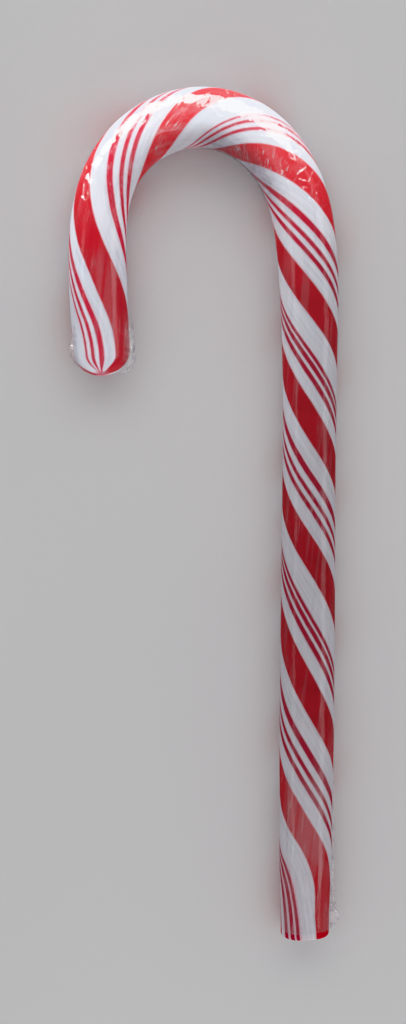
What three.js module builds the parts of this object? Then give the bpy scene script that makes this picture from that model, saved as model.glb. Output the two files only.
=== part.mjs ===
import * as THREE from 'three';

// A large striped candy cane in its clear wrapper, lying on its back.
// Millimetres. +Z up, +Y from the foot towards the crook, +X towards the long straight leg.
// The tight film and the candy under it are one solid; the two places where the film stands loose
// are thin wavy solids of their own.

// The rod is measured along its centreline, from the cut foot to where the rounded tip begins.
const ROD_LENGTH = 510.6;
const TIP_DOME_LENGTH = 11.0;
const STEP = 0.5;

// Bending of the rod: distance from the foot, turn in degrees for each millimetre.
const BEND = [
  [226, 0],
  [282, 0.055],
  [311, 0.3],
  [341, 1.094],
  [373, 1.484],
  [406, 1.337],
  [438, 1.268],
  [461, 0.423],
  [481, 0.086],
  [521, 0],
];

// Thickness of the rod: distance from the foot, diameter.
const THICKNESS = [
  [0, 22.1],
  [46, 23.9],
  [91, 24.5],
  [235, 23.4],
  [316, 26.0],
  [376, 25.5],
  [436, 23.7],
  [481, 25.3],
  [521, 24.4],
];

// Section: a round with one flat facet underneath, where the cane lies.
const SIDES = 32;
const FLAT_HALF_ANGLE = 9;
const LEG_END = 286;
const LEG_RING_SPACING = 9.5;
const HOOK_RING_SPACING = 5;
const FOOT_ROUNDING = 1.1;
const FOOT_ROUNDING_RINGS = 3;
const FOOT_CUT_WAVE = 0.45;
const DOME_RINGS = 6;

// Film: a stiff clear foil, drawn a little thicker than it is so that it is a solid.
const FILM_THICKNESS = 0.5;
const FILM_GAP = 0.35;

const RED = 0x9c1222;
const FILM_COLOUR = 0xe9eef2;

const { degToRad: rad, lerp, smoothstep } = THREE.MathUtils;

// Interpolation through a list of [place, value] pairs, in straight ramps or eased ones.
const ramp = (share) => share;
const ease = (share) => (1 - Math.cos(Math.PI * share)) / 2;

function valueAt(pairs, place, shape) {
  if (place <= pairs[0][0]) return pairs[0][1];
  for (let i = 1; i < pairs.length; i++) {
    const [end, endValue] = pairs[i];
    if (place > end) continue;
    const [start, startValue] = pairs[i - 1];
    return startValue + (endValue - startValue) * shape((place - start) / (end - start));
  }
  return pairs[pairs.length - 1][1];
}

const radiusAt = (place) => valueAt(THICKNESS, place, ease) / 2;

// The centreline in plan: a point and a heading every STEP, by adding up the turns.
function walkCentreline() {
  const stations = [];
  let x = 0;
  let y = 0;
  let heading = rad(90);
  for (let place = 0; place <= ROD_LENGTH + STEP; place += STEP) {
    stations.push({ x, y, heading });
    const turn = rad(valueAt(BEND, place + STEP / 2, ramp)) * STEP;
    x += Math.cos(heading + turn / 2) * STEP;
    y += Math.sin(heading + turn / 2) * STEP;
    heading += turn;
  }
  return stations;
}

const CENTRELINE = walkCentreline();

function stationAt(place) {
  const index = Math.min(place / STEP, CENTRELINE.length - 2);
  const low = CENTRELINE[Math.floor(index)];
  const high = CENTRELINE[Math.floor(index) + 1];
  const share = index - Math.floor(index);
  return {
    x: lerp(low.x, high.x, share),
    y: lerp(low.y, high.y, share),
    heading: lerp(low.heading, high.heading, share),
  };
}

// A point at a place along the rod, at an angle round it (0 on top, 90 on the outer side of the bend),
// at a radius, and pushed forward along the rod. The axis is as high as the flat underside asks.
function rodPoint(place, angle, radius, forward = 0) {
  const { x, y, heading } = stationAt(place);
  const aside = radius * Math.sin(angle);
  const height = radiusAt(place) * Math.cos(rad(FLAT_HALF_ANGLE));
  return new THREE.Vector3(
    x + aside * Math.sin(heading) + forward * Math.cos(heading),
    y - aside * Math.cos(heading) + forward * Math.sin(heading),
    height + radius * Math.cos(angle),
  );
}

// The angles of one ring: even steps from one edge of the flat facet round to the other.
const RING_ANGLES = Array.from({ length: SIDES }, (_, k) =>
  rad(FLAT_HALF_ANGLE - 180 + (k * (360 - 2 * FLAT_HALF_ANGLE)) / (SIDES - 1)),
);

// A closed mesh from rings of equal length, with a fan on the point in the middle of each end.
function sweptSolid(rings, startPoint, endPoint) {
  const count = rings[0].length;
  const points = [...rings.flat(), startPoint, endPoint];
  const startIndex = points.length - 2;
  const endIndex = points.length - 1;
  const faces = [];
  for (let k = 0; k < count; k++) {
    const next = (k + 1) % count;
    for (let r = 0; r + 1 < rings.length; r++) {
      const low = r * count;
      const high = low + count;
      faces.push(low + k, high + next, high + k, low + k, low + next, high + next);
    }
    const last = (rings.length - 1) * count;
    faces.push(startIndex, next, k);
    faces.push(endIndex, last + k, last + next);
  }
  return meshGeometry(points, faces);
}

function meshGeometry(points, faces) {
  const geometry = new THREE.BufferGeometry();
  geometry.setFromPoints(points);
  geometry.setIndex(faces);
  geometry.computeVertexNormals();
  return geometry;
}

// A thin closed sheet: a grid of points, the same grid moved off by the thickness, and a rim.
// Both faces are split into triangles alike.
function sheetSolid(rowCount, columnCount, pointAt, directionAt) {
  const front = [];
  const back = [];
  for (let row = 0; row <= rowCount; row++) {
    for (let column = 0; column <= columnCount; column++) {
      const point = pointAt(row / rowCount, column / columnCount);
      const direction = directionAt(row / rowCount, column / columnCount);
      back.push(point);
      front.push(point.clone().addScaledVector(direction, FILM_THICKNESS));
    }
  }
  const width = columnCount + 1;
  const offset = front.length;
  const faces = [];
  const quad = (a, b, c, d) => faces.push(a, b, c, a, c, d);
  for (let row = 0; row < rowCount; row++) {
    for (let column = 0; column < columnCount; column++) {
      const a = row * width + column;
      quad(a, a + 1, a + width + 1, a + width);
      faces.push(offset + a, offset + a + width + 1, offset + a + 1);
      faces.push(offset + a, offset + a + width, offset + a + width + 1);
    }
  }
  for (let row = 0; row < rowCount; row++) {
    const near = row * width;
    const far = near + columnCount;
    quad(near, near + width, offset + near + width, offset + near);
    quad(far + width, far, offset + far, offset + far + width);
  }
  for (let column = 0; column < columnCount; column++) {
    const near = column;
    const far = rowCount * width + column;
    quad(near + 1, near, offset + near, offset + near + 1);
    quad(far, far + 1, offset + far + 1, offset + far);
  }
  return meshGeometry([...front, ...back], faces);
}

// The rod: a rounded, slightly wavy cut at the foot, and a dome at the tip of the hook.
function caneGeometry() {
  const rings = [];
  const ringOf = (place, radius, forwardAt) =>
    RING_ANGLES.map((angle) => rodPoint(place, angle, radius, forwardAt(angle)));
  const cutWave = (angle) => FOOT_CUT_WAVE * Math.sin(2 * angle + 1);

  const footRadius = radiusAt(0);
  for (let i = 0; i < FOOT_ROUNDING_RINGS; i++) {
    const turn = rad((90 * i) / FOOT_ROUNDING_RINGS);
    const radius = footRadius - FOOT_ROUNDING * (1 - Math.sin(turn));
    const back = FOOT_ROUNDING * (1 - Math.cos(turn));
    rings.push(ringOf(0, radius, (angle) => back + cutWave(angle)));
  }

  const addStretch = (start, end, spacing) => {
    const count = Math.round((end - start) / spacing);
    for (let i = 0; i < count; i++) {
      const place = start + ((end - start) * i) / count;
      rings.push(ringOf(place, radiusAt(place), () => 0));
    }
  };
  addStretch(2 * FOOT_ROUNDING + FOOT_CUT_WAVE, LEG_END, LEG_RING_SPACING);
  addStretch(LEG_END, ROD_LENGTH, HOOK_RING_SPACING);

  const tipRadius = radiusAt(ROD_LENGTH);
  for (let i = 0; i < DOME_RINGS; i++) {
    const turn = rad((90 * i) / DOME_RINGS);
    rings.push(ringOf(ROD_LENGTH, tipRadius * Math.cos(turn), () => TIP_DOME_LENGTH * Math.sin(turn)));
  }
  return sweptSolid(rings, rodPoint(0, 0, 0), rodPoint(ROD_LENGTH, 0, 0, TIP_DOME_LENGTH));
}

// The film's long seam on the outer side of the leg, frayed out near the foot.
// Reach: distance from the foot, how far the seam stands out beyond the gap.
const SEAM_START = 2;
const SEAM_END = 79;
const SEAM_ROWS = 34;
const SEAM_COLUMNS = 3;
const SEAM_REACH = [
  [SEAM_START, 1.0],
  [4.5, 2.6],
  [8, 4.4],
  [13.5, 2.9],
  [18.5, 1.6],
  [31, 1.1],
  [SEAM_END, 0.7],
];
const FRAY_SHARE = 0.25;
const FRAY_PITCH = 3;
const FLUTTER = 0.45;
const FLUTTER_PITCH = 7;

const wave = (place, pitch) => Math.sin((2 * Math.PI * place) / pitch);

function seamGeometry() {
  const pointAt = (row, column) => {
    const place = lerp(SEAM_START, SEAM_END, row);
    const frayed = 1 + FRAY_SHARE * wave(place, FRAY_PITCH);
    const reach = FILM_GAP + valueAt(SEAM_REACH, place, ramp) * frayed * column;
    const point = rodPoint(place, rad(90), radiusAt(place) + reach);
    point.z += FLUTTER * wave(place, FLUTTER_PITCH) * column - FILM_THICKNESS / 2;
    return point;
  };
  return sheetSolid(SEAM_ROWS, SEAM_COLUMNS, pointAt, () => new THREE.Vector3(0, 0, 1));
}

// The film's loose, crinkled end round the tip of the hook. It is open underneath.
// A column runs along the rod first, then over the dome; a row runs round the rod.
const CUFF_START = 467;
const CUFF_HALF_ANGLE = 112;
const CUFF_ROWS = 26;
const CUFF_COLUMNS = 14;
const CUFF_STRAIGHT_SHARE = 0.7;
const CUFF_DOME_TURN = 62;
const CUFF_LOOSE_INNER = 1.5;
const CUFF_LOOSE_OUTER = 1.9;
const CUFF_SIDE_FROM = 0.7;
const INNER_SWELL = [0.05, 0.6];
const OUTER_SWELL = [0.5, 0.75];
const CUFF_TUCK = [0.8, 1];
const CUFF_TUCK_SHARE = 0.6;
const CRINKLE_HEIGHT = 0.1;
const CRINKLES_ROUND = 11;
const CRINKLE_SLANT = 9;
const SIDE_CRINKLE_PITCH = 0.16;

function cuffPoint(row, column, extra) {
  const angle = rad(lerp(CUFF_HALF_ANGLE, -CUFF_HALF_ANGLE, row));
  const along = Math.min(column / CUFF_STRAIGHT_SHARE, 1);
  const over = Math.max((column - CUFF_STRAIGHT_SHARE) / (1 - CUFF_STRAIGHT_SHARE), 0);
  const place = lerp(CUFF_START, ROD_LENGTH, along);
  const turn = rad(CUFF_DOME_TURN) * over;

  const sideways = smoothstep(Math.abs(Math.sin(angle)), CUFF_SIDE_FROM, 1);
  const [loose, swell] = angle < 0 ? [CUFF_LOOSE_INNER, INNER_SWELL] : [CUFF_LOOSE_OUTER, OUTER_SWELL];
  const slack = loose * sideways * smoothstep(column, ...swell);
  const tuck = 1 - CUFF_TUCK_SHARE * smoothstep(column, ...CUFF_TUCK);
  const roundCrinkle = 1 + Math.sin(CRINKLES_ROUND * angle + CRINKLE_SLANT * column);
  const sideCrinkle = sideways * (1 + wave(column, SIDE_CRINKLE_PITCH));
  const lift = FILM_GAP + CRINKLE_HEIGHT * (roundCrinkle + sideCrinkle) + slack * tuck + extra;

  const radius = (radiusAt(place) + lift) * Math.cos(turn);
  const forward = (TIP_DOME_LENGTH + lift) * Math.sin(turn);
  return rodPoint(place, angle, radius, forward);
}

function cuffGeometry() {
  const pointAt = (row, column) => cuffPoint(row, column, 0);
  const directionAt = (row, column) =>
    cuffPoint(row, column, 1).sub(cuffPoint(row, column, 0)).normalize();
  return sheetSolid(CUFF_ROWS, CUFF_COLUMNS, pointAt, directionAt);
}

const candyMaterial = new THREE.MeshStandardMaterial({ color: RED, roughness: 0.25, metalness: 0 });
const filmMaterial = new THREE.MeshStandardMaterial({
  color: FILM_COLOUR,
  roughness: 0.1,
  metalness: 0,
  transparent: true,
  opacity: 0.3,
});

const group = new THREE.Group();

function addPiece(name, geometry, material) {
  const mesh = new THREE.Mesh(geometry, material);
  mesh.name = name;
  group.add(mesh);
}

addPiece('candy_cane', caneGeometry(), candyMaterial);
addPiece('film_seam', seamGeometry(), filmMaterial);
addPiece('film_tip_cuff', cuffGeometry(), filmMaterial);

// The origin lies under the middle of the whole, on the surface that the cane rests on.
const bounds = new THREE.Box3().setFromObject(group);
const middle = bounds.getCenter(new THREE.Vector3());
group.position.set(-middle.x, -middle.y, 0);

export default group;
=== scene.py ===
"""Looks for a striped candy cane in its clear wrapper, lying on its back on a pale floor.

Shapes are worked out in millimetres and become metres when a mesh is made.
A place is a distance along the rod's centreline from its cut foot.
An angle goes round the rod: 0 on top, 90 degrees on the outer side of the bend.
"""

import math

import bpy
import numpy as np
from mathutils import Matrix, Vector, noise


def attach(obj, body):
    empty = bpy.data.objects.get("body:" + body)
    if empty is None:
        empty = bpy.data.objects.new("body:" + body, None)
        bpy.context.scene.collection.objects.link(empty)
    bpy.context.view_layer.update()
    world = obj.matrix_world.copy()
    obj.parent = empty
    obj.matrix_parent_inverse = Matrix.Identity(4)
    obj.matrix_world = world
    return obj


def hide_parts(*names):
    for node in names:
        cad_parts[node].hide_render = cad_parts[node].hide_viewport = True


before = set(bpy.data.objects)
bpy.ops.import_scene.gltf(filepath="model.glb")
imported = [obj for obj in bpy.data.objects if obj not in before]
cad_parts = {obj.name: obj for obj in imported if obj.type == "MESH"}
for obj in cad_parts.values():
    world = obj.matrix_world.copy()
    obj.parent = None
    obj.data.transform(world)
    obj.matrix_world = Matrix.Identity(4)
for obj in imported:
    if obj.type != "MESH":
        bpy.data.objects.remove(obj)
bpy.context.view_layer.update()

MM = 0.001

# ---------------------------------------------------------------- camera

# The camera looks down on the cane from a little beyond the crook, as in the photograph.
CAMERA_TILT = math.radians(9)
CAMERA_DISTANCE = 788.8
CAMERA_AIM = (-1.66, 6.5, 12.2)
SENSOR_LONG_SIDE = 36.0
PHOTO_LONG_SIDE_PIXELS = 1024
FOCAL_LENGTH_PIXELS = 1800
CLIP_NEAR = 0.05
CLIP_FAR = 20

camera_data = bpy.data.cameras.new("camera")
camera_data.lens = FOCAL_LENGTH_PIXELS / PHOTO_LONG_SIDE_PIXELS * SENSOR_LONG_SIDE
camera_data.sensor_width = SENSOR_LONG_SIDE
camera_data.clip_start = CLIP_NEAR
camera_data.clip_end = CLIP_FAR
camera = bpy.data.objects.new("camera", camera_data)
camera.location = (
    CAMERA_AIM[0] * MM,
    (CAMERA_AIM[1] + CAMERA_DISTANCE * math.sin(CAMERA_TILT)) * MM,
    (CAMERA_AIM[2] + CAMERA_DISTANCE * math.cos(CAMERA_TILT)) * MM,
)
camera.rotation_euler = (-CAMERA_TILT, 0, 0)
bpy.context.scene.collection.objects.link(camera)
bpy.context.scene.camera = camera

# ---------------------------------------------------------------- the rod, as in the CAD part

ROD_LENGTH = 510.6
TIP_DOME_LENGTH = 11.0
STEP = 0.5

# Where the middle of the cut foot lies in the part's frame.
FOOT_X = 44.68
FOOT_Y = -187.91

# Bending of the rod: distance from the foot, turn in degrees for each millimetre.
BEND = [
    (226, 0),
    (282, 0.055),
    (311, 0.3),
    (341, 1.094),
    (373, 1.484),
    (406, 1.337),
    (438, 1.268),
    (461, 0.423),
    (481, 0.086),
    (521, 0),
]
TIGHTEST_BEND = max(turn for _, turn in BEND)

# Thickness of the rod: distance from the foot, diameter.
THICKNESS = [
    (0, 22.1),
    (46, 23.9),
    (91, 24.5),
    (235, 23.4),
    (316, 26.0),
    (376, 25.5),
    (436, 23.7),
    (481, 25.3),
    (521, 24.4),
]
FLAT_HALF_ANGLE = math.radians(9)
FOOT_ROUNDING = 1.1
FOOT_CUT_WAVE = 0.45

# A round figure, for noise and whatever else needs no exact radius.
MEAN_RADIUS = 12.0

# Nothing of the cane comes nearer to the floor than this.
FLOOR_GAP = 0.02


def straight(pairs, places):
    """Values at places from a list of (place, value), in straight ramps."""
    known_places, values = zip(*pairs)
    return np.interp(places, known_places, values)


def eased(pairs, places):
    """Values at places from a list of (place, value), in eased ramps."""
    known_places, values = (np.array(column, float) for column in zip(*pairs))
    places = np.asarray(places, float)
    index = np.clip(np.searchsorted(known_places, places, side="right") - 1, 0, len(pairs) - 2)
    start, end = known_places[index], known_places[index + 1]
    share = np.clip((places - start) / (end - start), 0, 1)
    return values[index] + (values[index + 1] - values[index]) * (1 - np.cos(np.pi * share)) / 2


def smooth(values, low, high):
    """0 below low, 1 above high, and an S-shaped rise between them."""
    share = np.clip((np.asarray(values, float) - low) / (high - low), 0, 1)
    return share * share * (3 - 2 * share)


def radius_at(places):
    """Radius of the wrapped rod."""
    return eased(THICKNESS, places) / 2


walk = np.arange(0, ROD_LENGTH + STEP, STEP)
turns = np.radians(straight(BEND, walk + STEP / 2)) * STEP
headings = math.pi / 2 + np.concatenate([[0], np.cumsum(turns)[:-1]])
walk_x = FOOT_X + np.concatenate([[0], np.cumsum(np.cos(headings + turns / 2) * STEP)[:-1]])
walk_y = FOOT_Y + np.concatenate([[0], np.cumsum(np.sin(headings + turns / 2) * STEP)[:-1]])


def rod_points(places, angles, radii, forward=0.0):
    """Points round the rod, also pushed forward along it. The flat underside lies on the floor."""
    x = np.interp(places, walk, walk_x)
    y = np.interp(places, walk, walk_y)
    heading = np.interp(places, walk, headings)
    aside = radii * np.sin(angles)
    height = radius_at(places) * math.cos(FLAT_HALF_ANGLE)
    return np.stack(
        [
            x + aside * np.sin(heading) + forward * np.cos(heading),
            y - aside * np.cos(heading) + forward * np.sin(heading),
            height + radii * np.cos(angles) + 0 * x,
        ],
        axis=-1,
    )


def noise_at(points):
    """Smooth noise, from about -1 to 1, at points in an array whose last axis is x, y, z."""
    flat = points.reshape(-1, 3).tolist()
    return np.array([noise.noise(point) for point in flat]).reshape(points.shape[:-1])


def round_noise(places, angles, pitch_along, pitch_round, seed, slant=0):
    """Noise on the rod's surface, with its pitches in mm and its slant in mm for each radian.

    It has no break round the rod. A slant puts one underneath, where it can't be seen.
    """
    radius = MEAN_RADIUS / pitch_round
    coordinates = np.stack(
        [
            radius * np.cos(angles) + seed,
            radius * np.sin(angles) - 2 * seed,
            (places + slant * angles) / pitch_along,
        ],
        axis=-1,
    )
    return noise_at(coordinates)


def line_noise(places, pitch, seed):
    """Noise along the rod alone."""
    return noise_at(np.stack([places / pitch, 0 * places + seed, 0 * places], axis=-1))


def ridges(values, sharpness):
    """Turns noise into narrow creases of height 1 where it crosses zero."""
    return np.exp(-np.abs(values) * sharpness)


# ---------------------------------------------------------------- meshes

# Stripes turn with the rod: distance from the foot, turn in degrees for each millimetre.
TWIST = [
    (0, 0.19),
    (12, 0.46),
    (26, 0.97),
    (30, 1.28),
    (35, 1.47),
    (40, 2.06),
    (46, 2.77),
    (50, 2.99),
    (60, 2.97),
    (66, 3.00),
    (70, 2.95),
    (75, 2.84),
    (90, 2.83),
    (125, 2.62),
    (160, 2.88),
    (200, 3.39),
    (240, 3.12),
    (275, 3.44),
    (310, 3.31),
    (345, 2.79),
    (375, 3.68),
    (395, 3.82),
    (420, 2.67),
    (445, 2.03),
    (470, 2.25),
    (495, 1.74),
    (511, 0),
]
twist_at_walk = np.concatenate([[0], np.cumsum(straight(TWIST, walk + STEP / 2) * STEP)[:-1]])

# Near the foot the stripes lie a little further round, and more so on the inner side, in degrees.
FOOT_LEAD = [(0, 0), (10, 2), (20, 3), (32, 3.5), (46, 4), (58, 2), (68, 0)]
FOOT_SIDE_LEAD = [
    (0, 0),
    (20, 2),
    (28, 7),
    (34, 12),
    (40, 22),
    (48, 26),
    (56, 17),
    (66, 13),
    (80, 7),
    (104, 5),
    (125, 0),
]
FOOT_SIDE_POWER = 2.5


def twist_at(places):
    """How far the stripes have turned since the foot, in degrees."""
    return np.interp(places, walk, twist_at_walk)


def foot_lead(places, angles):
    """How much further round the stripes lie near the foot than their twist alone puts them."""
    inner_side = np.maximum(-np.sin(angles), 0) ** FOOT_SIDE_POWER
    return straight(FOOT_LEAD, places) + straight(FOOT_SIDE_LEAD, places) * inner_side


def add_mesh(name, points, faces, corner_maps=(), point_values=()):
    """A mesh object from points in mm. Corner maps are UV pairs; point values are single numbers."""
    mesh = bpy.data.meshes.new(name)
    mesh.from_pydata((points * MM).tolist(), [], faces)
    for map_name, pairs in corner_maps:
        layer = mesh.uv_layers.new(name=map_name)
        layer.data.foreach_set("uv", np.asarray(pairs, np.float32).ravel())
    for value_name, values in point_values:
        attribute = mesh.attributes.new(value_name, "FLOAT", "POINT")
        attribute.data.foreach_set("value", np.asarray(values, np.float32))
    mesh.polygons.foreach_set("use_smooth", [True] * len(mesh.polygons))
    mesh.update()
    piece = bpy.data.objects.new(name, mesh)
    bpy.context.scene.collection.objects.link(piece)
    return piece


def tube(name, points, maps, values, end_points=(None, None)):
    """A tube from an array of rings. Maps hold one column more than the rings.

    A map's first number is a share of a turn, and it stays within half a turn in each face.
    An end is closed by a fan on its end point, where there is one.
    """
    rows, columns = points.shape[:2]
    faces = []
    corners = []
    for row in range(rows - 1):
        for column in range(columns):
            right = (column + 1) % columns
            faces.append(
                (
                    row * columns + column,
                    row * columns + right,
                    (row + 1) * columns + right,
                    (row + 1) * columns + column,
                )
            )
            corners += [
                (row, column),
                (row, column + 1),
                (row + 1, column + 1),
                (row + 1, column),
            ]
    flat_points = [points.reshape(-1, 3)]
    flat_values = {key: [value.ravel()] for key, value in values.items()}
    for row, end_point in zip((0, rows - 1), end_points):
        if end_point is None:
            continue
        middle = sum(len(part) for part in flat_points)
        flat_points.append(np.array([end_point["point"]]))
        for key in flat_values:
            flat_values[key].append([end_point[key]])
        for column in range(columns):
            right = (column + 1) % columns
            ring = [row * columns + column, row * columns + right]
            places = [(row, column), (row, column + 1)]
            if row == 0:
                ring.reverse()
                places.reverse()
            faces.append((*ring, middle))
            corners += [*places, places[0]]
    rows_index, columns_index = np.array(corners).T
    sizes = [len(face) for face in faces]
    first_corner = np.repeat(np.cumsum([0] + sizes[:-1]), sizes)
    corner_maps = []
    for key, value in maps.items():
        pairs = value[rows_index, columns_index]
        pairs[:, 0] -= np.round(pairs[:, 0] - pairs[first_corner, 0])
        corner_maps.append((key, pairs))
    point_values = [(key, np.concatenate(parts)) for key, parts in flat_values.items()]
    return add_mesh(name, np.concatenate(flat_points), faces, corner_maps, point_values)


def ring_angles(count):
    """Angles once round a ring. The last one stands for the first again."""
    return -math.pi + 2 * math.pi * np.arange(count + 1) / count


# The candy. Its own surface lies a little inside the wrapped outline of the CAD part.
CANDY_INSET = 0.12
CANDY_COLUMNS = 112
CANDY_SPACING = 1.3
FOOT_RINGS = 7
DOME_RINGS = 60
CUT_RINGS = 10
CANDY_UNEVENNESS = 0.10
SMALL_SWELL_SHARE = 0.35

# The cut foot's wave and grain fade out along the rod.
CUT_REACH = 4.0
GRAIN_HEIGHT = 0.12
GRAIN_STRETCH = 1.7

# Noises on the candy, each with its pitch along the rod, its pitch round it and its seed.
SWELL_NOISE = (28, 14, 3.1)
SMALL_SWELL_NOISE = (7, 6, 8.7)
GRAIN_NOISE = (2.1, 3.0, 5.5)

# The stripes run together beside the middle of the tip, not on it.
POLE_ANGLE = math.radians(3)
POLE_SHIFT = math.radians(27)
POLE_SHIFT_DONE = math.radians(45)


def stripe_angles(angles, dome_turns):
    """Angles that the stripes follow, and how far off the shifted pole they are, in radians.

    On the dome the stripes are turned towards that pole.
    """
    shift = POLE_SHIFT * smooth(dome_turns, 0, POLE_SHIFT_DONE)
    across = np.cos(dome_turns) * np.sin(angles - POLE_ANGLE)
    upward = np.cos(dome_turns) * np.cos(angles - POLE_ANGLE)
    toward = upward * np.cos(shift) - np.sin(dome_turns) * np.sin(shift)
    forward = upward * np.sin(shift) + np.sin(dome_turns) * np.cos(shift)
    off_pole = np.arctan2(np.hypot(across, toward), forward)
    return POLE_ANGLE + np.arctan2(across, toward), off_pole


def candy_rings():
    """Place, radius, forward shift, depth and turn over the dome of each ring, foot to tip."""
    places = []
    radii = []
    forwards = []
    rinds = []
    dome_turns = []
    foot_radius = radius_at(0.0) - CANDY_INSET
    for ring in range(1, CUT_RINGS + 1):
        share = ring / (CUT_RINGS + 1)
        radius = (foot_radius - FOOT_ROUNDING) * share
        places.append(0.0)
        radii.append(radius)
        forwards.append(0.0)
        rinds.append(foot_radius - radius)
    for ring in range(FOOT_RINGS):
        turn = math.pi / 2 * ring / FOOT_RINGS
        radius = foot_radius - FOOT_ROUNDING * (1 - math.sin(turn))
        places.append(0.0)
        radii.append(radius)
        forwards.append(FOOT_ROUNDING * (1 - math.cos(turn)))
        rinds.append((foot_radius - radius) * math.cos(turn))
    body_start = FOOT_ROUNDING + CANDY_SPACING / 2
    body_count = int(round((ROD_LENGTH - body_start) / CANDY_SPACING))
    for place in np.linspace(body_start, ROD_LENGTH, body_count, endpoint=False):
        places.append(place)
        radii.append(radius_at(place) - CANDY_INSET)
        forwards.append(0.0)
        rinds.append(0.0)
    tip_radius = radius_at(ROD_LENGTH) - CANDY_INSET
    for ring in range(DOME_RINGS):
        turn = math.pi / 2 * ring / DOME_RINGS
        places.append(ROD_LENGTH)
        radii.append(tip_radius * math.cos(turn))
        forwards.append((TIP_DOME_LENGTH - CANDY_INSET) * math.sin(turn))
        rinds.append(0.0)
        dome_turns.append(turn)
    dome_turns = [0.0] * (len(places) - len(dome_turns)) + dome_turns
    return [np.array(column) for column in (places, radii, forwards, rinds, dome_turns)]


def make_candy():
    """The candy, from its cut foot to its tip, with the map that its stripes follow."""
    places, radii, forwards, rinds, dome_turns = candy_rings()
    angles = ring_angles(CANDY_COLUMNS)
    place, angle = np.meshgrid(places, angles[:-1], indexing="ij")
    radius = np.repeat(radii[:, None], CANDY_COLUMNS, axis=1)
    forward = np.repeat(forwards[:, None], CANDY_COLUMNS, axis=1)
    along = place + forward
    small_swell = round_noise(along, angle, *SMALL_SWELL_NOISE)
    swell = round_noise(along, angle, *SWELL_NOISE) + SMALL_SWELL_SHARE * small_swell
    radius = radius * (1 + CANDY_UNEVENNESS * swell / MEAN_RADIUS)
    cut_share = smooth(along, CUT_REACH, 0.0)
    grain = GRAIN_HEIGHT * round_noise(radius * GRAIN_STRETCH, angle, *GRAIN_NOISE)
    forward = forward + cut_share * (FOOT_CUT_WAVE * np.sin(2 * angle + 1) + grain)
    points = rod_points(place, angle, radius, forward)
    points[..., 2] = np.maximum(points[..., 2], CANDY_INSET + FLOOR_GAP)
    stripe_angle, off_pole = stripe_angles(angles[None, :], dome_turns[:, None])
    turn = np.degrees(stripe_angle) + twist_at(places)[:, None]
    turn = (turn + foot_lead(places[:, None], angles[None, :])) / 360
    length = (places + forwards)[:, None] + 0 * turn
    maps = {"stripes": np.stack([turn, length * MM], axis=-1)}
    values = {
        "depth": np.repeat(rinds[:, None], CANDY_COLUMNS, axis=1),
        "off_pole": np.degrees(off_pole[:, :-1]),
    }
    foot = {
        "point": rod_points(0.0, 0.0, 0.0, 0.0),
        "depth": radii[-DOME_RINGS - 1],
        "off_pole": 90.0,
    }
    tip = {
        "point": rod_points(ROD_LENGTH, 0.0, 0.0, TIP_DOME_LENGTH - CANDY_INSET),
        "depth": 0.0,
        "off_pole": math.degrees(POLE_SHIFT),
    }
    return tube("candy", points, maps, values, (foot, tip))


# The tight film round the rod.
FILM_OFFSET = 0.10
FILM_COLUMNS = 176
FILM_SPACING = 1.2
FILM_CROWN_SPACING = 0.6
FILM_CROWN = (325, 455)
FILM_FOOT_EDGE = 3.4
FILM_TIP_TURN = math.radians(72)
FILM_TIP_RINGS = 12
FILM_EDGE_REACH = 2.5
FILM_EDGE_WAVE = 0.5
FILM_EDGE_CLING = 0.06

# Heights of the film's folds. Their noises have pitches, a seed and a slant.
TENSION_FOLD_HEIGHT = 0.05
TENSION_FOLD_TURN = 0.006
BUNCH_HEIGHT = 0.42
BUNCH_SWAY = 4
CRINKLE_HEIGHT = 0.26
SMALL_CRINKLE_HEIGHT = 0.12
FACET_HEIGHT = 0.30
TENSION_NOISE = (60, 2.6, 1.3)
BUNCH_NOISE = (3.4, 16, 6.2)
CRINKLE_NOISE = (5.0, 9.0, 9.4, 9)
SMALL_CRINKLE_NOISE = (2.4, 5.0, 4.8, -5)
FACET_NOISE = (9, 8, 2.6, 3)

# Where the folds are, from none of them to all: inside the bend, in the bend, and on top.
BUNCHED_INSIDE = (-0.2, 0.9)
CRINKLED_BEND = (0.15, 0.6)
CRINKLED_TOP = (-0.3, 0.5)

# A loose patch of film on top of the leg, with a sharp edge on its inner side.
PATCH_PLACES = (33, 45, 72, 84)
PATCH_ANGLES = (-47, -45, 30, 46)
PATCH_LIFT = 0.12
PATCH_SLANT = 7.0


def patch_share(places, angles):
    """1 on the loose patch, 0 off it."""
    start, full_start, full_end, end = PATCH_PLACES
    slanted = places + PATCH_SLANT * angles
    along = smooth(slanted, start, full_start) * smooth(places, end, full_end)
    start, full_start, full_end, end = np.radians(PATCH_ANGLES)
    return along * smooth(angles, start, full_start) * smooth(angles, end, full_end)


def film_lift(places, angles):
    """How far the film stands off its tight shape: folds, bunches inside the bend, crinkles."""
    tension = round_noise(places, angles - TENSION_FOLD_TURN * places, *TENSION_NOISE)
    lift = TENSION_FOLD_HEIGHT * ridges(tension, sharpness=9)
    bend = straight(BEND, places) / TIGHTEST_BEND
    inside = smooth(-np.sin(angles), *BUNCHED_INSIDE)
    bunches = round_noise(places + BUNCH_SWAY * np.sin(2 * angles), angles, *BUNCH_NOISE)
    lift = lift + BUNCH_HEIGHT * bend * inside * ridges(bunches, sharpness=7)
    crinkles = round_noise(places, angles, *CRINKLE_NOISE)
    small_crinkles = round_noise(places, angles, *SMALL_CRINKLE_NOISE)
    facets = round_noise(places, angles, *FACET_NOISE)
    creases = CRINKLE_HEIGHT * ridges(crinkles, sharpness=9)
    creases = creases + SMALL_CRINKLE_HEIGHT * ridges(small_crinkles, sharpness=7)
    crown_top = smooth(bend, *CRINKLED_BEND) * smooth(np.cos(angles), *CRINKLED_TOP)
    lift = lift + crown_top * creases
    lift = lift + crown_top * FACET_HEIGHT * np.abs(facets)
    return lift + PATCH_LIFT * patch_share(places, angles)


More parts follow.
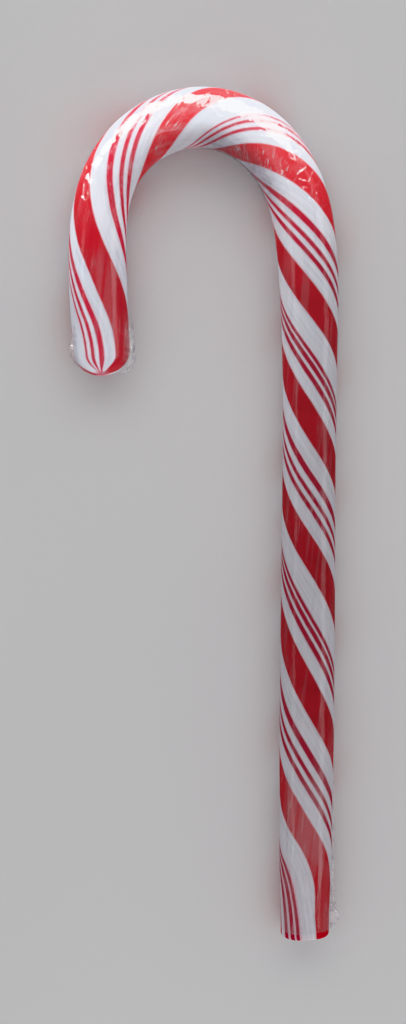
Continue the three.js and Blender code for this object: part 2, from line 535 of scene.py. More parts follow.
def make_film():
    """The tight film, from near the cut foot to part of the way over the tip."""
    body = np.concatenate(
        [
            np.arange(FILM_FOOT_EDGE, FILM_CROWN[0], FILM_SPACING),
            np.arange(FILM_CROWN[0], FILM_CROWN[1], FILM_CROWN_SPACING),
            np.arange(FILM_CROWN[1], ROD_LENGTH, FILM_SPACING),
        ]
    )
    turns_over = np.linspace(0, FILM_TIP_TURN, FILM_TIP_RINGS + 1)[1:]
    places = np.concatenate([body, np.full(FILM_TIP_RINGS, ROD_LENGTH)])
    over = np.concatenate([0 * body, turns_over])
    angles = ring_angles(FILM_COLUMNS)
    place, angle = np.meshgrid(places, angles[:-1], indexing="ij")
    turn = np.repeat(over[:, None], FILM_COLUMNS, axis=1)
    along = place + TIP_DOME_LENGTH * np.sin(turn)
    lift = FILM_OFFSET + film_lift(along, angle)
    radius = (radius_at(place) + lift) * np.cos(turn)
    forward = (TIP_DOME_LENGTH + lift) * np.sin(turn)
    edge_share = smooth(place, FILM_FOOT_EDGE + FILM_EDGE_REACH, FILM_FOOT_EDGE)
    forward = forward + edge_share * FILM_EDGE_WAVE * np.sin(3 * angle + 0.7)
    radius = radius - edge_share * FILM_EDGE_CLING
    points = rod_points(place, angle, radius, forward)
    points[..., 2] = np.maximum(points[..., 2], FLOOR_GAP)
    around = np.repeat((np.degrees(angles) / 360)[None, :], len(places), axis=0)
    length = (places + TIP_DOME_LENGTH * np.sin(over))[:, None] + 0 * around
    stripe_turn = around + twist_at(places)[:, None] / 360
    maps = {
        "round": np.stack([around, length * MM], axis=-1),
        "stripes": np.stack([stripe_turn, length * MM], axis=-1),
    }
    return tube("film_sleeve", points, maps, {})


def sheet(name, rows, columns, point_at):
    """An open sheet from a grid of points. Its map runs from 0 to 1 along rows and columns."""
    row, column = np.meshgrid(
        np.linspace(0, 1, rows + 1), np.linspace(0, 1, columns + 1), indexing="ij"
    )
    points = point_at(row, column).reshape(-1, 3)
    faces = []
    width = columns + 1
    for r in range(rows):
        for c in range(columns):
            first = r * width + c
            faces.append((first, first + 1, first + width + 1, first + width))
    indices = np.array(faces).ravel()
    pairs = np.stack([row.ravel()[indices], column.ravel()[indices]], axis=-1)
    return add_mesh(name, points, faces, [("sheet", pairs)])


# The film's seam on the outer side of the leg, frayed out near the foot.
FILM_GAP = 0.15
SEAM_START = 2
SEAM_END = 79
SEAM_REACH = [
    (SEAM_START, 1.0),
    (4.5, 2.6),
    (8, 4.4),
    (13.5, 2.9),
    (18.5, 1.5),
    (31, 0.9),
    (45, 0.45),
    (SEAM_END, 0.35),
]
SEAM_GRID = (300, 10)
SEAM_SHRED_SHARE = 0.28
SEAM_TOOTH_SHARE = 0.34
FLUTTER_HEIGHT = 1.1
FLUTTER_PITCH = 2.2
FLUTTER_ACROSS = 1.5
FLUTTER_SEED = 2.7
FLUTTER_SHARE = [(SEAM_START, 1), (14, 1), (30, 0.5)]


def seam_points(row, column):
    """The seam: rows run along the rod, columns out from it to the frayed edge."""
    place = SEAM_START + (SEAM_END - SEAM_START) * row
    teeth = line_noise(place, pitch=1.1, seed=4.4)
    shreds = line_noise(place, pitch=3.1, seed=9.1)
    frayed = 1 + SEAM_SHRED_SHARE * shreds + SEAM_TOOTH_SHARE * teeth * column
    reach = straight(SEAM_REACH, place) * frayed * column
    points = rod_points(place, math.pi / 2 + 0 * place, radius_at(place) + FILM_GAP + reach)
    flutter_place = [place / FLUTTER_PITCH, column * FLUTTER_ACROSS, 0 * place + FLUTTER_SEED]
    flutter = noise_at(np.stack(flutter_place, axis=-1))
    points[..., 2] += FLUTTER_HEIGHT * flutter * column * straight(FLUTTER_SHARE, place)
    return points


# The film's loose, crinkled end round the tip of the hook. It is open underneath.
CUFF_START = 467
CUFF_HALF_ANGLE = math.radians(112)
CUFF_STRAIGHT_SHARE = 0.7
CUFF_DOME_TURN = math.radians(60)
CUFF_SIDE_FROM = 0.72
CUFF_STAYS_WIDE = 0.62
CUFF_GRID = (220, 130)
CUFF_LIFT = 0.14
CUFF_MORE_LIFT = 0.14
CUFF_LARGE_CREASE = 0.30
CUFF_SMALL_CREASE = 0.14
CUFF_CREASES_ON_TOP = 0.12
CUFF_CREASES_INSIDE = 1.4
CUFF_SMALL_SLACK = 0.55
CUFF_TINY_SLACK = 0.25
CUFF_FORWARD_SHARE = 0.3
CUFF_LIFTED = (0, 0.6)
CUFF_CREASED = (0.1, 0.6)
CUFF_LARGE_NOISE = (7.0, 6.0, 2.2, 5)
CUFF_SMALL_NOISE = (2.6, 2.8, 7.3, -3)
CUFF_TINY_NOISE = (1.2, 1.6, 3.9, 2)

# How far the film stands off at the sides: distance from the foot, gap. The dome starts at 510.6.
CUFF_INNER_GAP = [(467, 0), (489, 0.1), (495, 0.9), (503, 1.3), (511, 1.8), (521, 1.4)]
CUFF_OUTER_GAP = [(467, 0), (504, 0.1), (508, 1.5), (512, 1.7), (515, 0.7), (521, 0.1)]


def cuff_points(row, column):
    """The loose end: rows run round the rod, columns along it and over the tip."""
    angle = CUFF_HALF_ANGLE * (1 - 2 * row)
    along = np.minimum(column / CUFF_STRAIGHT_SHARE, 1)
    over = np.maximum((column - CUFF_STRAIGHT_SHARE) / (1 - CUFF_STRAIGHT_SHARE), 0)
    place = CUFF_START + (ROD_LENGTH - CUFF_START) * along
    turn = CUFF_DOME_TURN * over
    far = place + TIP_DOME_LENGTH * np.sin(turn)
    sideways = smooth(np.abs(np.sin(angle)), CUFF_SIDE_FROM, 1)
    inner_side = sideways * (angle < 0)
    gap = np.where(angle < 0, straight(CUFF_INNER_GAP, far), straight(CUFF_OUTER_GAP, far))
    slack = gap * sideways
    large = round_noise(far, angle, *CUFF_LARGE_NOISE)
    small = round_noise(far, angle, *CUFF_SMALL_NOISE)
    tiny = round_noise(far, angle, *CUFF_TINY_NOISE)
    crease = CUFF_LARGE_CREASE * ridges(large, sharpness=6)
    crease = crease + CUFF_SMALL_CREASE * ridges(small, sharpness=6)
    crease_share = CUFF_CREASES_ON_TOP + CUFF_CREASES_INSIDE * inner_side
    lift = CUFF_LIFT + CUFF_MORE_LIFT * smooth(column, *CUFF_LIFTED)
    lift = lift + crease * smooth(column, *CUFF_CREASED) * crease_share
    lift = lift + slack * (1 + CUFF_SMALL_SLACK * small + CUFF_TINY_SLACK * tiny)
    width = np.cos(turn) + CUFF_STAYS_WIDE * inner_side * (1 - np.cos(turn))
    radius = radius_at(place) * width + lift * np.cos(turn)
    forward = (TIP_DOME_LENGTH + CUFF_FORWARD_SHARE * lift) * np.sin(turn)
    return rod_points(place, angle, radius, forward)


candy = make_candy()
film_sleeve = make_film()
film_seam = sheet("film_seam_fin", *SEAM_GRID, seam_points)
film_cuff = sheet("film_tip_wrap", *CUFF_GRID, cuff_points)

# Tight film scatters light on to the candy, so its haze casts no shadow there.
film_sleeve.visible_shadow = False

# ---------------------------------------------------------------- materials

# Stripes round the rod at the cut foot, from edge to edge, in degrees.
WIDE_STRIPES = [(36.0, 90.0), (220.5, 276.0)]
NARROW_STRIPES = [(121.0, 131.5), (142.0, 151.5), (167.0, 181.0), (304.5, 315.5)]
NARROW_PAIR = [(323.0, 333.5), (338.5, 346.5)]
STRIPE_EDGE = 1.8
STRIPE_WANDER = 1.6
WIDER_AT_FOOT = 10.0
WIDER_AT_TIP = 4.0
THINNER_ON_SHOULDER = 1.8
THINNER_PAIR_AT_TIP = 1.5
CRIMSON_ROUND_NARROW = (-4.0, -2.0)

# The stripes are a rind on the cut foot, in mm, and run together at their pole, in degrees.
RIND_THICKNESS = 1.7
RIND_EDGE = 0.4
MERGED_NEAR_POLE = (20.0, 6.0)
MERGED_SHARE = 0.85
MERGED_WANDER = 12.0

# Pink shows in the white beside the stripes. Near the foot it reaches this far, in degrees.
BLUSH_SHARE = 0.32
FOOT_BLUSH_REACH = 9.0
FOOT_BLUSH_STRENGTH = 1.8

# Places along the rod in metres: where a look begins, and where it has its full strength.
FOOT_WIDENING = (0.030, 0.008)
TIP_WIDENING = (0.470, 0.492)
TIP_THINNING = (0.455, 0.478)
SHOULDER_START = (0.332, 0.350)
SHOULDER_END = (0.408, 0.390)
FOOT_BLUSH = (0.060, 0.025)
FOOT_RED = (0.098, 0.078)
# From HOOK_RED on, the reds are brighter copies that stand in for the stronger light on the crook:
# painted light. From TIP_RED they are less bright again, though still brighter than on the leg.
HOOK_RED = (0.290, 0.335)
TIP_RED = (0.430, 0.455)

SUGAR_WHITE = (0.75, 0.725, 0.765, 1)
SUGAR_WHITE_SHADE = (0.65, 0.615, 0.66, 1)
SUGAR_RED = (0.49, 0.016, 0.026, 1)
SUGAR_RED_DEEP = (0.41, 0.011, 0.018, 1)
SUGAR_CRIMSON = (0.42, 0.013, 0.038, 1)
SUGAR_FOOT_RED = (0.56, 0.017, 0.027, 1)
# Brighter reds for the crook and the tip: painted light, not a different sugar.
SUGAR_LIT_HOOK_RED = (0.68, 0.017, 0.028, 1)
SUGAR_LIT_HOOK_CRIMSON = (0.58, 0.016, 0.044, 1)
SUGAR_LIT_TIP_RED = (0.53, 0.015, 0.025, 1)
SUGAR_MERGED = (0.60, 0.10, 0.15, 1)
SUGAR_PINK = (0.72, 0.24, 0.32, 1)


class Tree:
    """A short way to write a material's nodes."""

    def __init__(self, name):
        """Makes an empty material with an output."""
        self.material = bpy.data.materials.new(name)
        self.material.use_nodes = True
        self.nodes = self.material.node_tree.nodes
        self.links = self.material.node_tree.links
        self.nodes.clear()
        self.output = self.nodes.new("ShaderNodeOutputMaterial")

    def put(self, value, socket):
        """Links a node's output to a socket, or sets a constant on it."""
        if isinstance(value, bpy.types.NodeSocket):
            self.links.new(value, socket)
        else:
            socket.default_value = value

    def add(self, kind, inputs=None, **settings):
        """Adds a node. Its inputs are given by name or number, its settings by name."""
        node = self.nodes.new("ShaderNode" + kind)
        for name, value in settings.items():
            setattr(node, name, value)
        for name, value in (inputs or {}).items():
            self.put(value, node.inputs[name])
        return node

    def math(self, operation, *values):
        """The result of one operation on numbers."""
        node = self.add("Math", operation=operation)
        for position, value in enumerate(values):
            self.put(value, node.inputs[position])
        return node.outputs[0]

    def times(self, product, *others):
        """The product of numbers."""
        for other in others:
            product = self.math("MULTIPLY", product, other)
        return product

    def plus(self, base, share, amount):
        """A base and this share of an amount."""
        return self.math("MULTIPLY_ADD", share, amount, base)

    def off(self, value, middle):
        """How far a value is from a middle."""
        return self.math("ABSOLUTE", self.math("SUBTRACT", value, middle))

    def ramp(self, value, low, high, to_low=0.0, to_high=1.0):
        """An eased rise, or a fall where low is above high."""
        node = self.add(
            "MapRange",
            {
                "Value": value,
                "From Min": low,
                "From Max": high,
                "To Min": to_low,
                "To Max": to_high,
            },
            interpolation_type="SMOOTHSTEP",
        )
        return node.outputs["Result"]

    def within(self, value, start, end):
        """1 between a start and an end, each a pair from no strength to full strength."""
        return self.times(self.ramp(value, *start), self.ramp(value, *end))

    def mix(self, share, first, second):
        """A colour between two: the second where the share is 1."""
        node = self.add("Mix", data_type="RGBA")
        self.put(share, node.inputs[0])
        self.put(first, node.inputs[6])
        self.put(second, node.inputs[7])
        return node.outputs[2]

    def noise(self, vector, scale, detail=3.0, roughness=0.5):
        """Noise from 0 to 1, mostly near 0.5."""
        node = self.add(
            "TexNoise",
            {"Vector": vector, "Scale": scale, "Detail": detail, "Roughness": roughness},
        )
        return node.outputs["Fac"]

    def map_parts(self, name):
        """The two numbers of a corner map: the first and the second."""
        source = self.add("UVMap", uv_map=name)
        parts = self.add("SeparateXYZ", {"Vector": source.outputs["UV"]})
        return parts.outputs["X"], parts.outputs["Y"]

    def unrolled(self, turn, length, stretch=1.0):
        """A vector that runs round the rod with no break. A small stretch draws noise out along it."""
        angle = self.times(turn, 2 * math.pi)
        x = self.times(self.math("COSINE", angle), MEAN_RADIUS * MM)
        y = self.times(self.math("SINE", angle), MEAN_RADIUS * MM)
        z = self.times(length, stretch)
        return self.add("CombineXYZ", {"X": x, "Y": y, "Z": z}).outputs["Vector"]

    def surface(self, shader):
        """Makes a shader the material's surface."""
        self.links.new(shader, self.output.inputs["Surface"])


def inside_stripes(tree, degrees, stripes):
    """How far inside the nearest of these stripes an angle is, in degrees; negative outside."""
    nearest = None
    for start, end in stripes:
        middle = (start + end) / 2
        half_width = (end - start) / 2
        offset = tree.math("WRAP", tree.math("SUBTRACT", degrees, middle), 180.0, -180.0)
        inside = tree.math("SUBTRACT", half_width, tree.math("ABSOLUTE", offset))
        nearest = inside if nearest is None else tree.math("MAXIMUM", nearest, inside)
    return nearest


def make_candy_material():
    """Boiled sugar: white, with red stripes along its own map and a white core at the cut foot."""
    tree = Tree("striped_sugar")
    turn, length = tree.map_parts("stripes")
    pulled = tree.unrolled(turn, length, stretch=0.08)
    even = tree.unrolled(turn, length)

    wander = tree.math("SUBTRACT", tree.noise(even, scale=60.0, detail=2.0), 0.5)
    fine_wander = tree.math("SUBTRACT", tree.noise(even, scale=420.0, detail=2.0), 0.5)
    degrees = tree.times(turn, 360.0)
    degrees = tree.plus(degrees, wander, 2 * STRIPE_WANDER)
    degrees = tree.plus(degrees, fine_wander, STRIPE_WANDER)

    narrow = inside_stripes(tree, degrees, NARROW_STRIPES)
    narrow_pair = inside_stripes(tree, degrees, NARROW_PAIR)
    narrow_pair = tree.plus(narrow_pair, tree.ramp(length, *TIP_THINNING), -THINNER_PAIR_AT_TIP)
    narrow = tree.math("MAXIMUM", narrow, narrow_pair)
    shoulder = tree.within(length, SHOULDER_START, SHOULDER_END)
    narrow = tree.plus(narrow, shoulder, -THINNER_ON_SHOULDER)
    wide = inside_stripes(tree, degrees, WIDE_STRIPES)
    wide = tree.math("ADD", wide, tree.ramp(length, *FOOT_WIDENING, 0.0, WIDER_AT_FOOT))
    wide = tree.math("ADD", wide, tree.ramp(length, *TIP_WIDENING, 0.0, WIDER_AT_TIP))
    inside = tree.math("MAXIMUM", narrow, wide)
    depth = tree.add("Attribute", attribute_name="depth").outputs["Fac"]
    rind = tree.ramp(depth, RIND_THICKNESS + RIND_EDGE, RIND_THICKNESS - RIND_EDGE)
    red = tree.times(tree.ramp(inside, -STRIPE_EDGE, STRIPE_EDGE), rind)
    fringe = tree.ramp(inside, -3 * STRIPE_EDGE, 0.5 * STRIPE_EDGE)
    foot_blush = tree.ramp(narrow, -FOOT_BLUSH_REACH, 0.0)
    foot_blush = tree.times(foot_blush, tree.ramp(length, *FOOT_BLUSH), FOOT_BLUSH_STRENGTH)
    blush = tree.times(tree.math("MAXIMUM", fringe, foot_blush), rind)

    pull = tree.noise(pulled, scale=700.0, detail=4.0, roughness=0.6)
    cloud = tree.noise(even, scale=90.0)
    white = tree.mix(tree.ramp(pull, 0.40, 0.72), SUGAR_WHITE, SUGAR_WHITE_SHADE)
    white = tree.mix(tree.times(blush, BLUSH_SHARE), white, SUGAR_PINK)
    # Over the crook the reds are brighter copies of the same red, painted light; towards the tip they
    # are less bright.
    hook = tree.ramp(length, *HOOK_RED)
    red_colour = tree.mix(tree.ramp(cloud, 0.35, 0.70), SUGAR_RED, SUGAR_RED_DEEP)
    red_colour = tree.mix(tree.ramp(length, *FOOT_RED), red_colour, SUGAR_FOOT_RED)
    red_colour = tree.mix(hook, red_colour, SUGAR_LIT_HOOK_RED)
    red_colour = tree.mix(tree.ramp(length, *TIP_RED), red_colour, SUGAR_LIT_TIP_RED)
    crimson = tree.mix(hook, SUGAR_CRIMSON, SUGAR_LIT_HOOK_CRIMSON)
    red_colour = tree.mix(tree.ramp(narrow, *CRIMSON_ROUND_NARROW), red_colour, crimson)
    colour = tree.mix(red, white, red_colour)
    off_pole = tree.add("Attribute", attribute_name="off_pole").outputs["Fac"]
    off_pole = tree.plus(off_pole, wander, MERGED_WANDER)
    merged = tree.ramp(off_pole, *MERGED_NEAR_POLE, 0.0, MERGED_SHARE)
    colour = tree.mix(merged, colour, SUGAR_MERGED)

    roughness = tree.ramp(tree.noise(even, scale=260.0), 0.3, 0.7, to_low=0.26, to_high=0.38)
    bump_height = tree.plus(tree.times(pull, 0.6), red, 0.35)
    bump = tree.add("Bump", {"Strength": 0.35, "Distance": 0.00012, "Height": bump_height})
    shader = tree.add(
        "BsdfPrincipled",
        {
            "Base Color": colour,
            "Roughness": roughness,
            "IOR": 1.04,
            "Subsurface Weight": 0.18,
            "Subsurface Radius": (0.0016, 0.0007, 0.0006),
            "Subsurface Scale": 1.0,
            "Normal": bump.outputs["Normal"],
        },
    )
    tree.surface(shader.outputs["BSDF"])
    return tree.material


FILM_CLEAR = (0.985, 0.99, 1.0, 1)
# A darker tint of the clear film, at folds and edges. Inside the bend it is partly painted shade.
FILM_FOLD_AND_SHADE_TINT = (0.68, 0.67, 0.71, 1)
FILM_WHITE = (0.86, 0.87, 0.90, 1)
MIRROR_EDGE_POWER = 5.0


def film_shader(tree, haze, crease, height, roughness, mirror_straight, mirror_edge):
    """Clear film: it lets the candy show, mirrors a little, and is milky where it has haze."""
    bump = tree.add("Bump", {"Strength": 0.5, "Distance": 0.0002, "Height": height})
    normal = bump.outputs["Normal"]
    clear = tree.add("BsdfTransparent", {"Color": tree.mix(crease, FILM_CLEAR, FILM_FOLD_AND_SHADE_TINT)})
    milky = tree.add("BsdfDiffuse", {"Color": FILM_WHITE})
    gloss = tree.add(
        "BsdfGlossy", {"Color": (1, 1, 1, 1), "Roughness": roughness, "Normal": normal}
    )
    body = tree.add("MixShader", {0: haze, 1: clear.outputs[0], 2: milky.outputs[0]})
    facing = tree.add("LayerWeight", {"Blend": 0.5, "Normal": normal}).outputs["Facing"]
    mirror = tree.plus(mirror_straight, tree.math("POWER", facing, MIRROR_EDGE_POWER), mirror_edge)
    shader = tree.add("MixShader", {0: mirror, 1: body.outputs[0], 2: gloss.outputs[0]})
    tree.surface(shader.outputs[0])
    return tree.material


def thin_lines(tree, value, half_width):
    """1 in narrow lines where a noise value crosses its middle, 0 elsewhere."""
    return tree.ramp(tree.off(value, 0.5), half_width, 0.2 * half_width)


# How milky the tight film is, and what makes it more so or less.
BASE_HAZE = 0.016
STREAK_HAZE = 0.13
BAND_HAZE = 0.055
# The loose patch's haze is partly milky film and partly a painted reflection on the patch.
PATCH_HAZE_AND_REFLECTION = 0.085
FOOT_BLOTCH_HAZE = 0.045
FOOT_SIDE_HAZE = 0.055
CROWN_HAZE = 0.03
GATHERED_HAZE = 0.05
# Creases over the red are painted as pale glints.
CREASE_GLINT_HAZE = 0.24
HOOK_LESS_HAZE = 0.65

# Noise levels: where a look begins, and where it has its full strength.
STREAKED_PATCHES = (0.46, 0.60)
STREAKS = (0.56, 0.64)
BANDS = (0.535, 0.575)
BLOTCHES = (0.40, 0.62)
PLEATS = (0.35, 0.60)
HOOK_CREASED = (0.38, 0.50)
LEG_CREASED = (0.44, 0.54)

# Slants of streaks and creases, in turns round the rod for each metre along it.
STREAK_SLANT = -1.6
LEG_SIDE_SLANT = -13.5
LEG_SIDE_STRENGTH = 1.7

# Places along the rod in metres: where a look begins, and where it has its full strength.
CROWN_START = (0.322, 0.350)
CROWN_END = (0.470, 0.425)
HOOK_SIDE_START = (0.385, 0.400)
LEG_SIDE_END = (0.385, 0.370)
HOOK_CLEAR_START = (0.405, 0.432)
HOOK_CLEAR_END = (0.478, 0.462)
GATHERED_START = (0.325, 0.345)
GATHERED_END = (0.392, 0.378)
PATCH_EDGE_START = (0.036, 0.044)
PATCH_EDGE_END = (0.084, 0.070)
FOOT_BLOTCHES = (0.046, 0.034)
FOOT_SIDE = (0.040, 0.032)

# The same round the rod, in turns from its top.
GATHERED_ROUND = (-0.02, -0.16)
FOOT_SIDE_FROM = (0.055, 0.085)
FOOT_SIDE_TO = (0.170, 0.145)
PATCH_EDGE_WIDTH = (0.0030, 0.0008)
PATCH_WANDER = 0.006


def patch_looks(tree, turn, length, even):
    """1 on the film's loose patch, and 1 on the patch's sharp edge."""
    start, full_start, full_end, end = (place * MM for place in PATCH_PLACES)
    slanted = tree.plus(length, turn, PATCH_SLANT * MM * 2 * math.pi)
    slanted = tree.plus(slanted, tree.noise(even, scale=160.0, detail=2.0), PATCH_WANDER)
    patch = tree.ramp(slanted, start + PATCH_WANDER / 2, full_start + PATCH_WANDER / 2)
    patch = tree.times(patch, tree.ramp(length, end, full_end))
    start, full_start, full_end, end = (angle / 360 for angle in PATCH_ANGLES)
    patch = tree.times(patch, tree.within(turn, (start, full_start), (end, full_end)))
    edge = tree.ramp(tree.off(turn, start), *PATCH_EDGE_WIDTH)
    edge = tree.times(edge, tree.within(length, PATCH_EDGE_START, PATCH_EDGE_END))
    return patch, edge


def crown_creases(tree, turn, stripe_turn, length, even):
    """Fine creases: along the stripes on the hook's side of the crown, across on the leg's side."""
    along_stripes = tree.unrolled(stripe_turn, length, stretch=0.12)
    leg_turn = tree.plus(turn, length, LEG_SIDE_SLANT)
    across_stripes = tree.unrolled(leg_turn, length, stretch=0.10)
    hook_noise = tree.noise(along_stripes, scale=800.0, detail=1.0)
    hook_side = thin_lines(tree, hook_noise, half_width=0.030)
    hook_side = tree.times(hook_side, tree.ramp(length, *HOOK_SIDE_START))
    hook_creased = tree.ramp(tree.noise(even, scale=75.0, detail=2.0), *HOOK_CREASED)
    hook_side = tree.times(hook_side, hook_creased)
    leg_noise = tree.noise(across_stripes, scale=560.0, detail=1.0)
    leg_side = thin_lines(tree, leg_noise, half_width=0.026)
    leg_side = tree.times(leg_side, tree.ramp(length, *LEG_SIDE_END))
    leg_creased = tree.ramp(tree.noise(even, scale=260.0, detail=1.0), *LEG_CREASED)
    leg_side = tree.times(leg_side, leg_creased)
    return tree.plus(hook_side, leg_side, LEG_SIDE_STRENGTH)


def make_sleeve_material():
    """The tight film: pale lengthwise streaks, a milky patch near the foot with a painted reflection
    in its haze, a crinkled crown.
    """
    tree = Tree("clear_film")
    turn, length = tree.map_parts("round")
    stripe_turn = tree.map_parts("stripes")[0]
    even = tree.unrolled(turn, length)
    streak_turn = tree.plus(turn, length, STREAK_SLANT)
    lengthwise = tree.unrolled(streak_turn, length, stretch=0.035)
    fine = tree.noise(lengthwise, scale=1200.0, roughness=0.55)
    broad = tree.noise(lengthwise, scale=260.0, detail=2.0)
    crown = tree.within(length, CROWN_START, CROWN_END)
    patch, patch_edge = patch_looks(tree, turn, length, even)

    streaked = tree.ramp(tree.noise(even, scale=45.0, detail=2.0), *STREAKED_PATCHES)
    streaks = tree.times(tree.ramp(fine, *STREAKS), streaked)
    haze = tree.plus(BASE_HAZE, streaks, STREAK_HAZE)
    haze = tree.plus(haze, tree.ramp(broad, *BANDS), BAND_HAZE)
    # The patch: milky loose film, with a painted reflection on it.
    haze = tree.plus(haze, patch, PATCH_HAZE_AND_REFLECTION)
    blotches = tree.ramp(tree.noise(even, scale=130.0), *BLOTCHES)
    foot_blotches = tree.times(tree.ramp(length, *FOOT_BLOTCHES), blotches)
    haze = tree.plus(haze, foot_blotches, FOOT_BLOTCH_HAZE)
    foot_side = tree.within(turn, FOOT_SIDE_FROM, FOOT_SIDE_TO)
    foot_side = tree.times(foot_side, tree.ramp(length, *FOOT_SIDE))
    foot_side = tree.times(foot_side, tree.ramp(broad, 0.42, 0.58, to_low=0.6))
    haze = tree.plus(haze, foot_side, FOOT_SIDE_HAZE)
    haze = tree.plus(haze, crown, CROWN_HAZE)
    clear_hook = tree.within(length, HOOK_CLEAR_START, HOOK_CLEAR_END)
    haze = tree.times(haze, tree.plus(1.0, clear_hook, -HOOK_LESS_HAZE))

    # The film is gathered in pleats on the inside of the bend, milkier there and darker. The darkening
    # is partly the gathered film and partly painted shade inside the bend.
    gathered_and_shaded = tree.times(tree.ramp(turn, *GATHERED_ROUND), tree.ramp(length, *GATHERED_START))
    gathered_and_shaded = tree.times(gathered_and_shaded, tree.ramp(length, *GATHERED_END))
    pleats = tree.ramp(tree.noise(even, scale=330.0, detail=2.0), *PLEATS, to_low=0.55)
    gathered_and_shaded = tree.times(gathered_and_shaded, pleats)
    haze = tree.plus(haze, gathered_and_shaded, GATHERED_HAZE)
    # The darker tint: a real edge on the patch, and inside the bend partly painted shade.
    darker = tree.math("MAXIMUM", patch_edge, gathered_and_shaded)

    # Pale creases over the red: milky lines painted as glints, where creases catch the light. Over the
    # white they could not be told from it.
    creases = tree.times(crown_creases(tree, turn, stripe_turn, length, even), crown)
    stripe_degrees = tree.times(stripe_turn, 360.0)
    inside = inside_stripes(tree, stripe_degrees, WIDE_STRIPES + NARROW_STRIPES + NARROW_PAIR)
    over_red = tree.ramp(inside, -2.0, 2.0)
    haze = tree.plus(haze, tree.times(creases, over_red), CREASE_GLINT_HAZE)
    height = tree.plus(broad, fine, 0.5)
    height = tree.plus(height, creases, 0.5)
    return film_shader(
        tree, haze, darker, height, roughness=0.07, mirror_straight=0.04, mirror_edge=0.05
    )


def make_loose_film_material(name, base_haze, crease_glint_haze, roughness, tight_middle=False):
    """Crumpled film: clear between pale creases, milky lines painted as glints where creases catch the
    light. A tight middle has none.
    """
    tree = Tree(name)
    place = tree.add("TexCoord").outputs["Object"]
    loose = 1.0
    if tight_middle:
        across, along = tree.map_parts("sheet")
        loose = tree.ramp(tree.off(across, 0.5), 0.20, 0.30)
        loose = tree.times(loose, tree.ramp(along, 0.40, 0.62))
    large = tree.noise(place, scale=330.0, detail=2.0)
    small = tree.noise(place, scale=900.0, detail=2.0)
    large_creases = thin_lines(tree, large, half_width=0.035)
    small_creases = thin_lines(tree, small, half_width=0.030)
    creases = tree.times(tree.math("MAXIMUM", large_creases, small_creases), loose)
    # Milky crease lines that stand in for glints: painted highlights on the creases.
    haze = tree.plus(base_haze, creases, crease_glint_haze)
    height = tree.plus(tree.times(small, loose), creases, 0.8)
    darker = tree.times(tree.ramp(large, 0.56, 0.62), loose)
    mirror = tree.ramp(loose, 0.0, 1.0, to_low=0.008, to_high=0.06)
    return film_shader(
        tree, haze, darker, height, roughness, mirror_straight=mirror, mirror_edge=0.30
    )


candy.data.materials.append(make_candy_material())
film_sleeve.data.materials.append(make_sleeve_material())
film_seam.data.materials.append(
    make_loose_film_material("frayed_film", base_haze=0.22, crease_glint_haze=0.45, roughness=0.16)
)
film_cuff.data.materials.append(
    make_loose_film_material(
        "loose_film", base_haze=0.003, crease_glint_haze=0.40, roughness=0.06, tight_middle=True
    )
)

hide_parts("candy_cane")
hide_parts("candy_cane")
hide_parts("film_seam")
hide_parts("film_tip_cuff")
for piece in (candy, film_sleeve, film_seam, film_cuff):
    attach(piece, "root")

# ---------------------------------------------------------------- floor and light

FLOOR_HALF_SIZE = 2.5
FLOOR_CELLS = 8
FLOOR_PALE = (0.90, 0.90, 0.895, 1)
FLOOR_SHADE = (0.87, 0.87, 0.87, 1)


def make_floor():
    """A wide pale floor, a little uneven in tone."""
    cells = np.linspace(-FLOOR_HALF_SIZE, FLOOR_HALF_SIZE, FLOOR_CELLS + 1)
    x, y = np.meshgrid(cells, cells, indexing="ij")
    points = np.stack([x, y, 0 * x], axis=-1).reshape(-1, 3) / MM
    width = FLOOR_CELLS + 1
    faces = [
        (r * width + c, (r + 1) * width + c, (r + 1) * width + c + 1, r * width + c + 1)
        for r in range(FLOOR_CELLS)
        for c in range(FLOOR_CELLS)
    ]
    floor = add_mesh("floor", points, faces)
    tree = Tree("pale_floor")
    place = tree.add("TexCoord").outputs["Object"]
    tone = tree.ramp(tree.noise(place, scale=3.0, detail=2.0), 0.3, 0.7)
    colour = tree.mix(tone, FLOOR_PALE, FLOOR_SHADE)
    shader = tree.add("BsdfPrincipled", {"Base Color": colour, "Roughness": 0.9})
    tree.surface(shader.outputs["BSDF"])
    floor.data.materials.append(tree.material)
    return floor


def add_area_light(name, place, aim, size, power, colour=(1, 1, 1), spread=180):
    """A rectangular lamp, with its place and size in metres and its spread in degrees."""
    data = bpy.data.lights.new(name, "AREA")
    data.spread = math.radians(spread)
    data.shape = "RECTANGLE"
    data.size, data.size_y = size
    data.energy = power
    data.color = colour
    light = bpy.data.objects.new(name, data)
    light.location = place
    direction = Vector(aim) - Vector(place)
    light.rotation_euler = direction.to_track_quat("-Z", "Y").to_euler()
    light.visible_camera = False
    bpy.context.scene.collection.objects.link(light)
    return light


def only_lights(light):
    """Keeps a soft lamp out of the film's shine."""
    light.visible_glossy = False


def only_mirrors(light):
    """Lets a lamp show in the film's shine and light nothing."""
    light.visible_diffuse = False


def light_only(name, lights, pieces):
    """Lets these lights reach these pieces and nothing else."""
    receivers = bpy.data.collections.new(name)
    for piece in pieces:
        receivers.objects.link(piece)
    for light in lights:
        light.light_linking.receiver_collection = receivers


floor = make_floor()
cane = (candy, film_sleeve, film_seam, film_cuff)
COOL = (0.91, 0.985, 1.0)

foot_fill = add_area_light(
    "foot_fill", place=(0.1, -0.75, 0.5), aim=(0.04, -0.18, 0), size=(0.6, 0.4), power=0.61
)
only_lights(foot_fill)

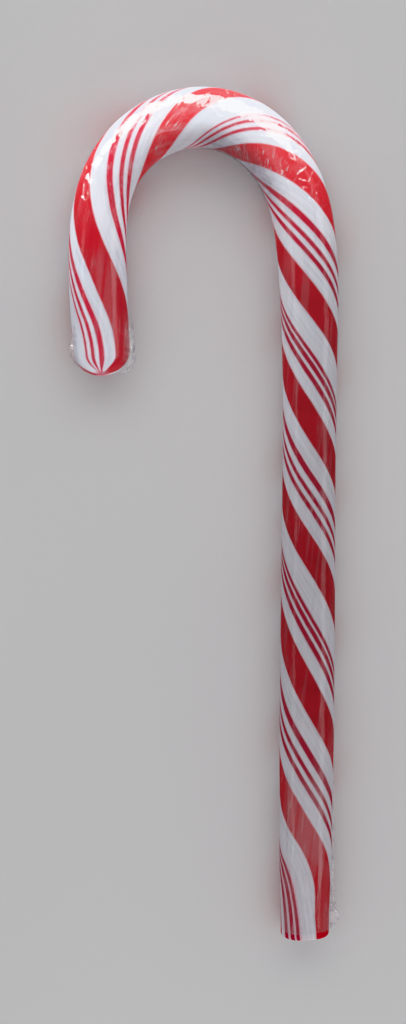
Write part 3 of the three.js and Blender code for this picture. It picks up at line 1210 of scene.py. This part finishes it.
# Near lamps light the cane only: they would bleach the floor.
near_lamps = [
    add_area_light(
        "crook_near",
        place=(0, 0.26, 0.09),
        aim=(0, 0.17, 0.01),
        size=(0.25, 0.08),
        power=0.11,
        colour=COOL,
        spread=70,
    ),
    add_area_light(
        "tip_near",
        place=(-0.03, 0.02, 0.14),
        aim=(-0.055, 0.05, 0),
        size=(0.08, 0.06),
        power=0.017,
        colour=COOL,
        spread=70,
    ),
    add_area_light(
        "foot_near", place=(0.06, -0.42, 0.25), aim=(0.045, -0.17, 0), size=(0.3, 0.2), power=0.31
    ),
    add_area_light(
        "hook_left",
        place=(-0.19, 0.2, 0.08),
        aim=(-0.05, 0.14, 0.01),
        size=(0.1, 0.06),
        power=0.014,
        colour=COOL,
        spread=50,
    ),
    add_area_light(
        "hook_inner",
        place=(0.02, 0.12, 0.03),
        aim=(-0.035, 0.14, 0.01),
        size=(0.04, 0.03),
        power=0.0023,
        colour=COOL,
        spread=90,
    ),
]
for lamp in near_lamps:
    only_lights(lamp)
light_only("lit_by_near_lamps", near_lamps, cane)

# Bright panels show in the film's shine only.
panels = [
    add_area_light(
        "right_sheen", place=(1.2, 0.0, 0.55), aim=(0, 0, 0), size=(1.6, 0.5), power=3.5
    ),
    add_area_light(
        "left_sheen", place=(-1.2, -0.1, 0.75), aim=(0, -0.1, 0), size=(1.6, 0.3), power=1.6
    ),
    add_area_light(
        "crown_sheen_left",
        place=(-0.27, 0.62, 0.14),
        aim=(0, 0.17, 0),
        size=(0.82, 0.24),
        power=82.0,
    ),
    add_area_light(
        "crown_sheen_right",
        place=(0.24, 0.60, 0.30),
        aim=(0, 0.17, 0),
        size=(0.46, 0.55),
        power=30.0,
    ),
]
for panel in panels:
    only_mirrors(panel)
light_only("mirrored_panels", panels, cane)

# A window lights the floor only, so that the floor stays pale beside a cane in softer light.
window = add_area_light(
    "window", place=(0, 1.6, 1.3), aim=(0, 0, 0), size=(2.6, 1.2), power=10.7
)
light_only("lit_by_window", [window], [floor])

WORLD_COLOUR = (0.97, 0.96, 0.98, 1)
WORLD_STRENGTH = 0.45
world = bpy.data.worlds.new("studio")
world.use_nodes = True
background = world.node_tree.nodes["Background"]
background.inputs["Color"].default_value = WORLD_COLOUR
background.inputs["Strength"].default_value = WORLD_STRENGTH
bpy.context.scene.world = world

view_settings = bpy.context.scene.view_settings
view_settings.view_transform = "Khronos PBR Neutral"
view_settings.look = "None"
bpy.context.scene.cycles.use_denoising = True
bpy.context.scene.cycles.caustics_reflective = False
